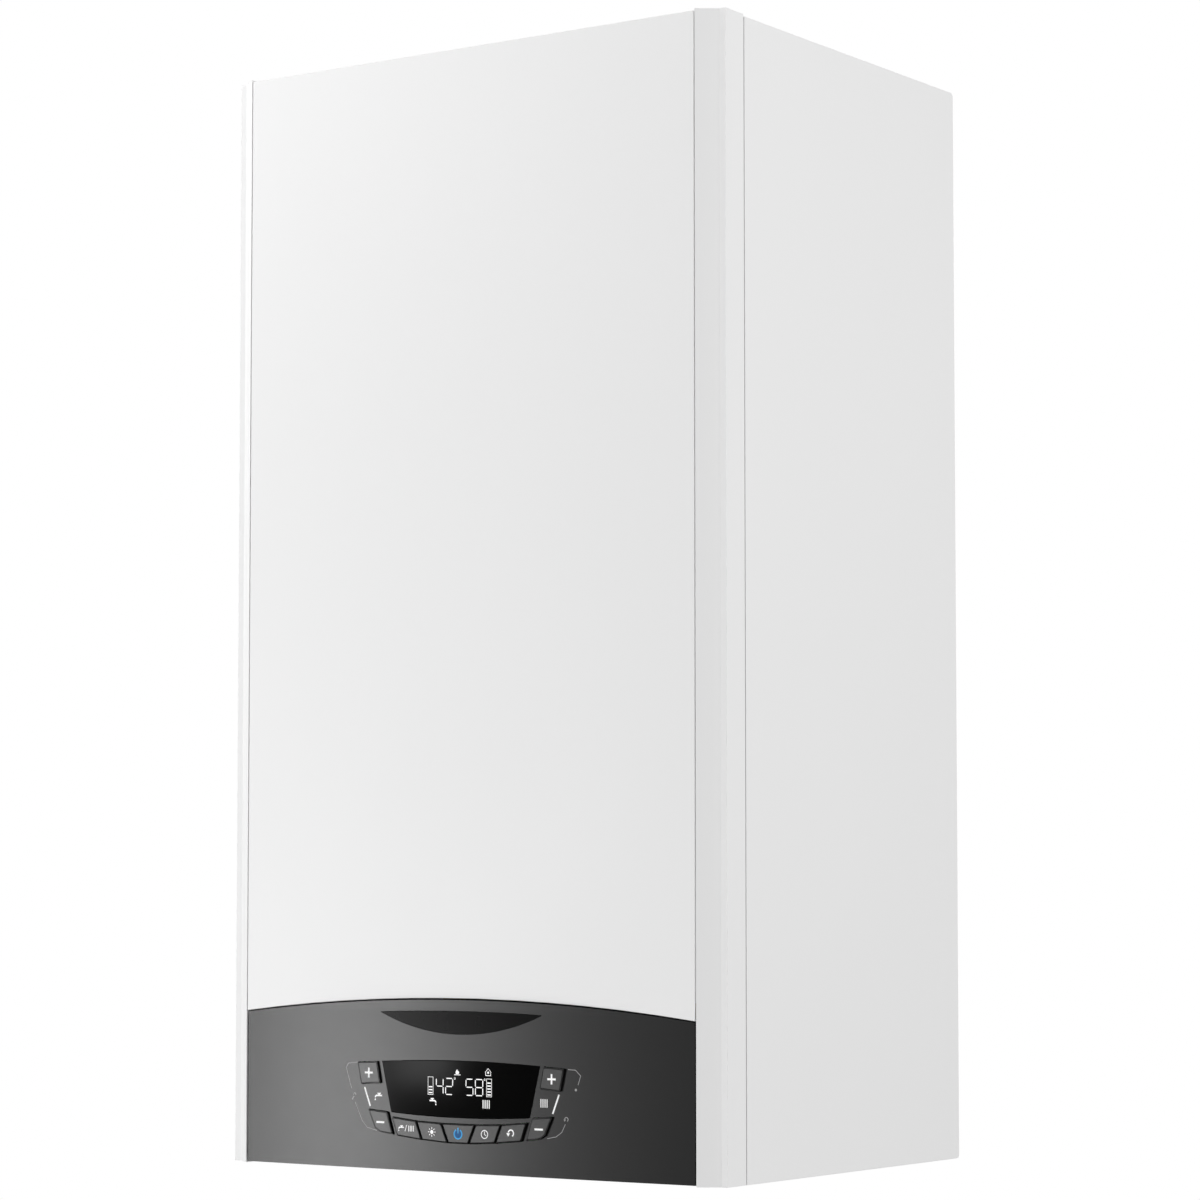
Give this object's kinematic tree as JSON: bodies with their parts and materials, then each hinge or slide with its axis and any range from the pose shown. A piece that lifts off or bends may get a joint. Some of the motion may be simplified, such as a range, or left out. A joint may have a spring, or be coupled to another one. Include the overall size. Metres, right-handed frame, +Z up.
{
  "type": "wall-hung system boiler",
  "caption": "Upright wall-hung boiler casing with chamfered corner trims, a lift-off front cover and a tilting, arched control fascia with display and keys.",
  "frame": {"origin": "on the wall, midway between the two wall screws of the hanging bracket", "axes": "+Z up, +Y into the wall, so the front faces -Y, and +X to the right seen from the front"},
  "size_m": [0.4, 0.3206, 0.7657],
  "materials": {
    "white_enamel": "white stoved paint, satin",
    "white_plastic": "white moulded plastic, fine texture",
    "galvanised_steel": "galvanised sheet",
    "fascia_grey": "dark grey moulded plastic, satin",
    "display_black": "black glossy plastic",
    "badge_black": "black satin plastic",
    "key_grey": "dark grey moulded plastic",
    "box_grey": "dark plastic with fine grain",
    "circuit_green": "coated circuit board with parts",
    "copper": "bare copper tube",
    "brass": "machined and cast brass",
    "steel_burner": "heat-tinted stainless steel",
    "tinned_steel": "plated sheet steel",
    "ceramic_board": "fibre insulation board",
    "ceramic": "glazed ceramic and wire",
    "vessel_red": "red paint",
    "black_plastic": "black plastic",
    "rubber": "black rubber",
    "motor_black": "black paint on a cast case",
    "fan_motor_steel": "laminated steel and varnished winding",
    "aluminium_cast": "die-cast aluminium",
    "aluminium_wheel": "aluminium sheet",
    "grey_plastic": "light grey plastic",
    "knob_red": "red plastic",
    "needle_white": "white lacquer",
    "screw_zinc": "zinc-plated steel",
    "sight_glass": "heat-proof glass in a ring"
  },
  "bodies": {
    "casing": {"wall_bracket": "galvanised_steel", "wall_spacers": "rubber", "back_frame": "galvanised_steel", "left_side_panel": "white_enamel", "right_side_panel": "white_enamel", "top_panel": "white_enamel", "bottom_panel": "galvanised_steel", "flue_collar": "aluminium_cast", "casing_screws": "screw_zinc", "air_chamber": "tinned_steel", "chamber_front": "tinned_steel", "sight_glass": "sight_glass", "combustion_box": "steel_burner", "insulation_boards": "ceramic_board", "burner_blades": "steel_burner", "gas_manifold": "brass", "electrodes": "ceramic", "exchanger_fins": "copper", "exchanger_tubes": "copper", "flue_hood": "tinned_steel", "fan_housing": "tinned_steel", "fan_motor": "fan_motor_steel", "flue_duct": "aluminium_cast", "air_pressure_switch": "grey_plastic", "expansion_vessel": "vessel_red", "water_pipes": "copper", "pump_housing": "brass", "pump_motor": "motor_black", "air_vent": "grey_plastic", "diverter_valve": "brass", "diverter_motor": "grey_plastic", "safety_valve": "brass", "gas_valve": "aluminium_cast", "gas_pipes": "copper", "gauge_body": "black_plastic", "cable_grommets": "rubber", "hinge_brackets": "galvanised_steel"},
    "cover": {"front_panel": "white_enamel", "left_corner_trim": "white_plastic", "right_corner_trim": "white_plastic"},
    "control_box": {"fascia": "fascia_grey", "display_window": "display_black", "badge_plate": "badge_black", "control_tray": "box_grey", "control_lid": "box_grey", "circuit_boards": "circuit_green"},
    "fan_wheel": {"fan_impeller": "aluminium_wheel"},
    "pump_wheel": {"pump_impeller": "black_plastic"},
    "diverter_stem": {"diverter_spindle": "screw_zinc"},
    "relief_knob": {"safety_knob": "knob_red"},
    "gauge_pointer": {"gauge_needle": "needle_white"},
    "key_water_plus_cap": {"key_water_plus": "key_grey"},
    "key_water_minus_cap": {"key_water_minus": "key_grey"},
    "key_heating_plus_cap": {"key_heating_plus": "key_grey"},
    "key_heating_minus_cap": {"key_heating_minus": "key_grey"},
    "key_mode_cap": {"key_mode": "key_grey"},
    "key_comfort_cap": {"key_comfort": "key_grey"},
    "key_power_cap": {"key_power": "key_grey"},
    "key_auto_cap": {"key_auto": "key_grey"},
    "key_reset_cap": {"key_reset": "key_grey"}
  },
  "joints": [
    {"name": "cover_pull", "type": "slide", "parent": "casing", "child": "cover", "axis": [0, -1, 0], "range_m": [0, 0.2]},
    {"name": "box_tilt", "type": "hinge", "parent": "casing", "child": "control_box", "pos_m": [0, -0.261, -0.685], "axis": [1, 0, 0], "range_deg": [0, 90]},
    {"name": "fan_spin", "type": "hinge", "parent": "casing", "child": "fan_wheel", "pos_m": [0.036, -0.15, -0.0663], "axis": [0, 1, 0], "continuous": true},
    {"name": "pump_spin", "type": "hinge", "parent": "casing", "child": "pump_wheel", "pos_m": [0.106, -0.125, -0.51], "axis": [0, 1, 0], "continuous": true},
    {"name": "diverter_lift", "type": "slide", "parent": "casing", "child": "diverter_stem", "axis": [0, 0, 1], "range_m": [-0.005, 0.005]},
    {"name": "relief_turn", "type": "hinge", "parent": "casing", "child": "relief_knob", "pos_m": [0.067, -0.125, -0.579], "axis": [0, 0, 1], "range_deg": [0, 90]},
    {"name": "gauge_swing", "type": "hinge", "parent": "casing", "child": "gauge_pointer", "pos_m": [-0.134, -0.205, -0.654], "axis": [0, 0, 1], "range_deg": [-101, 169]},
    {"name": "key_water_plus_press", "type": "slide", "parent": "control_box", "child": "key_water_plus_cap", "axis": [0, 1, 0], "range_m": [0, 0.0009], "stiffness_N_per_m": 1500},
    {"name": "key_water_minus_press", "type": "slide", "parent": "control_box", "child": "key_water_minus_cap", "axis": [0, 1, 0], "range_m": [0, 0.0009], "stiffness_N_per_m": 1500},
    {"name": "key_heating_plus_press", "type": "slide", "parent": "control_box", "child": "key_heating_plus_cap", "axis": [0, 1, 0], "range_m": [0, 0.0009], "stiffness_N_per_m": 1500},
    {"name": "key_heating_minus_press", "type": "slide", "parent": "control_box", "child": "key_heating_minus_cap", "axis": [0, 1, 0], "range_m": [0, 0.0009], "stiffness_N_per_m": 1500},
    {"name": "key_mode_press", "type": "slide", "parent": "control_box", "child": "key_mode_cap", "axis": [0, 1, 0], "range_m": [0, 0.0009], "stiffness_N_per_m": 1500},
    {"name": "key_comfort_press", "type": "slide", "parent": "control_box", "child": "key_comfort_cap", "axis": [0, 1, 0], "range_m": [0, 0.0009], "stiffness_N_per_m": 1500},
    {"name": "key_power_press", "type": "slide", "parent": "control_box", "child": "key_power_cap", "axis": [0, 1, 0], "range_m": [0, 0.0009], "stiffness_N_per_m": 1500},
    {"name": "key_auto_press", "type": "slide", "parent": "control_box", "child": "key_auto_cap", "axis": [0, 1, 0], "range_m": [0, 0.0009], "stiffness_N_per_m": 1500},
    {"name": "key_reset_press", "type": "slide", "parent": "control_box", "child": "key_reset_cap", "axis": [0, 1, 0], "range_m": [0, 0.0009], "stiffness_N_per_m": 1500}
  ]
}
